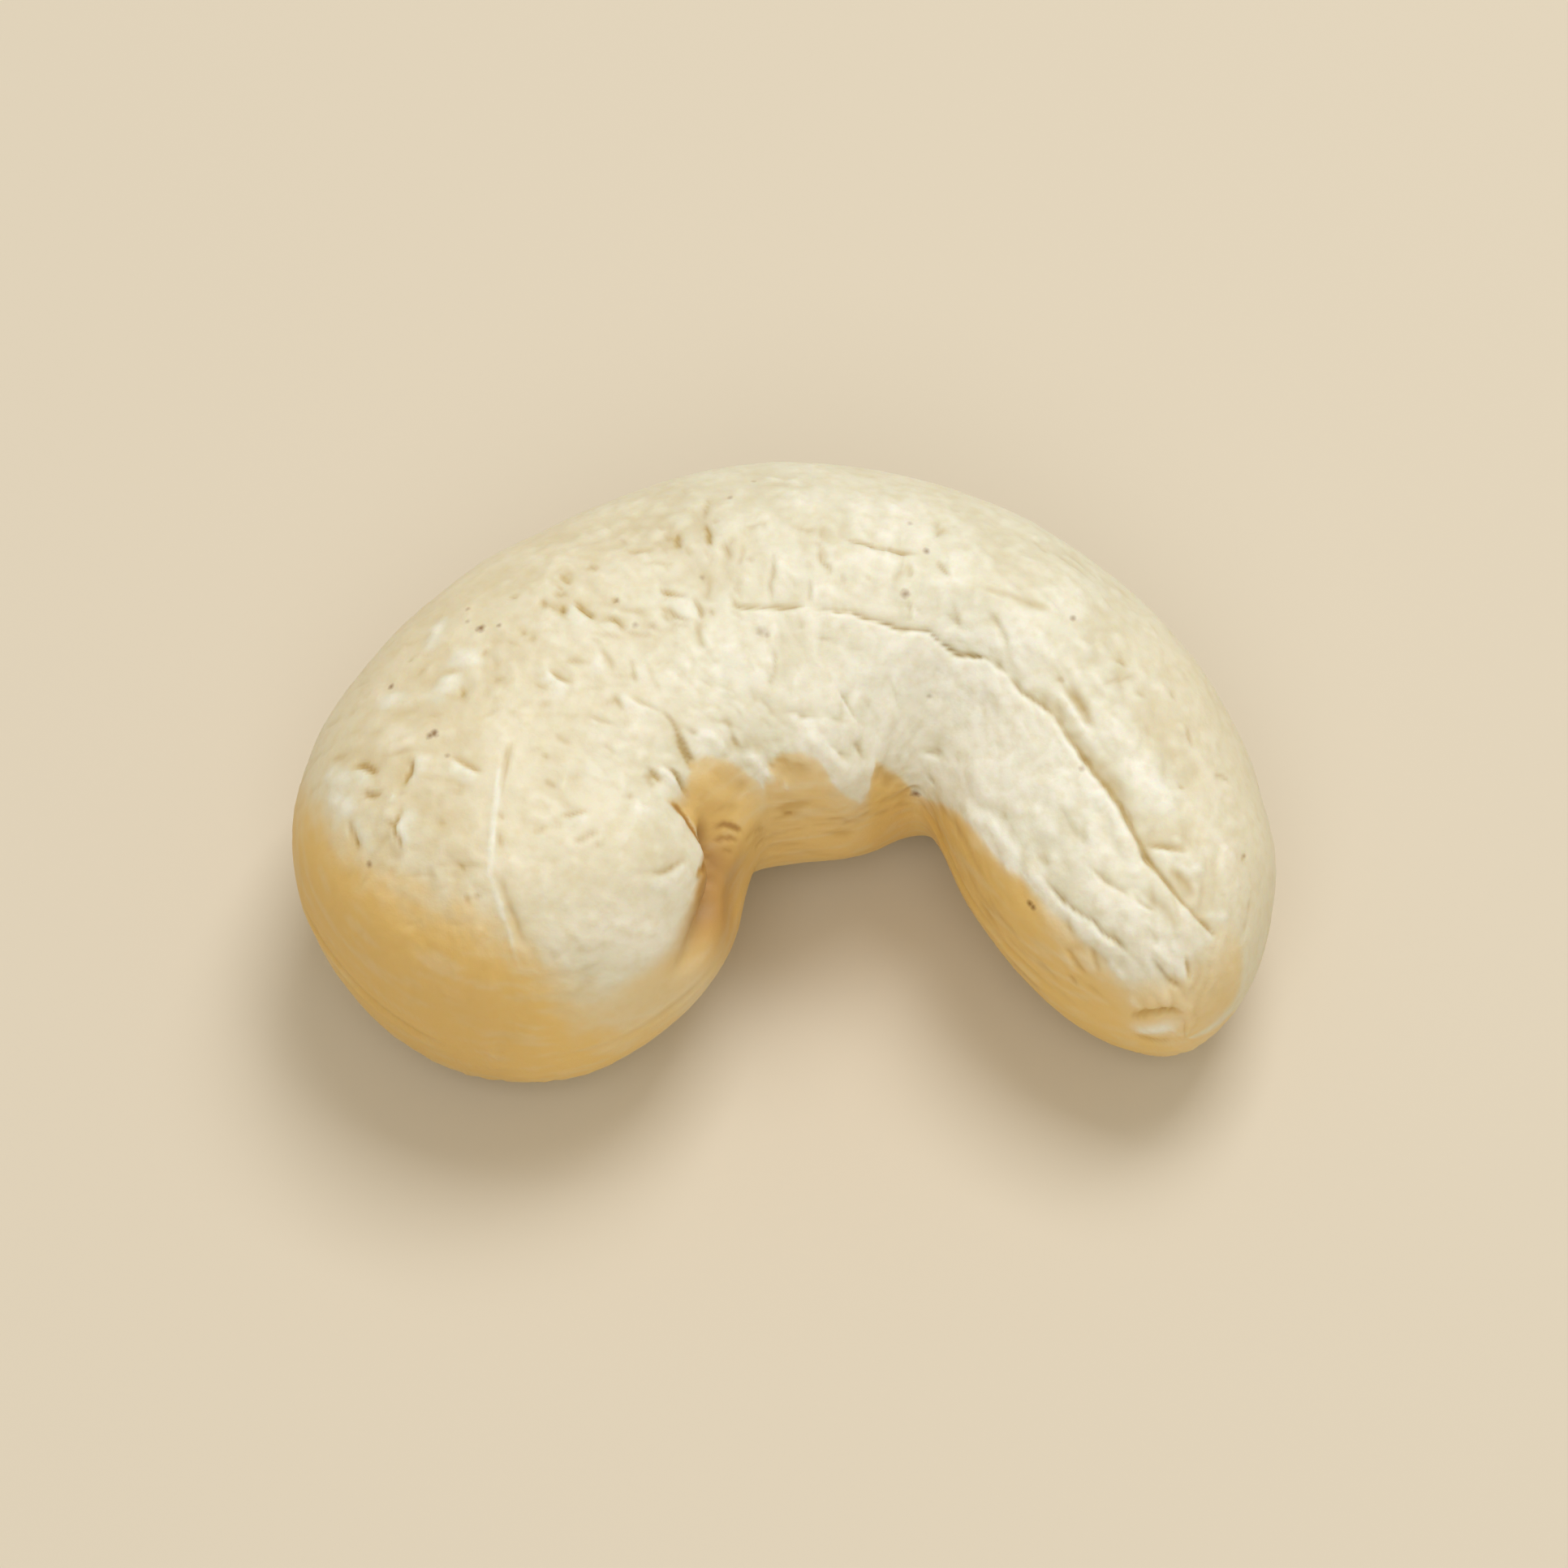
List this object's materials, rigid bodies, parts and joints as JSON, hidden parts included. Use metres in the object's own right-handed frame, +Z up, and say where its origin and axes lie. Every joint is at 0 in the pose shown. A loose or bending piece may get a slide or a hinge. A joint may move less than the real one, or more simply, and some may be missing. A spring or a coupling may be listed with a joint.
{
  "type": "cashew nut",
  "caption": "Whole shelled cashew nut: a curved, kidney-shaped kernel with a thick lobe, a slimmer limb, a seam groove round its edge and a flat spot to rest on.",
  "frame": {"origin": "middle of the footprint, on the surface that the kernel rests on", "axes": "+X along the length towards the slimmer limb, +Z up through the two cheeks, and the hollow of the curve opens towards -Y"},
  "size_m": [0.028, 0.0184, 0.0107],
  "materials": {
    "kernel": "matt, slightly waxy ivory flesh of a blanched kernel"
  },
  "bodies": {
    "root": {"cashew_nut": "kernel"}
  },
  "joints": []
}
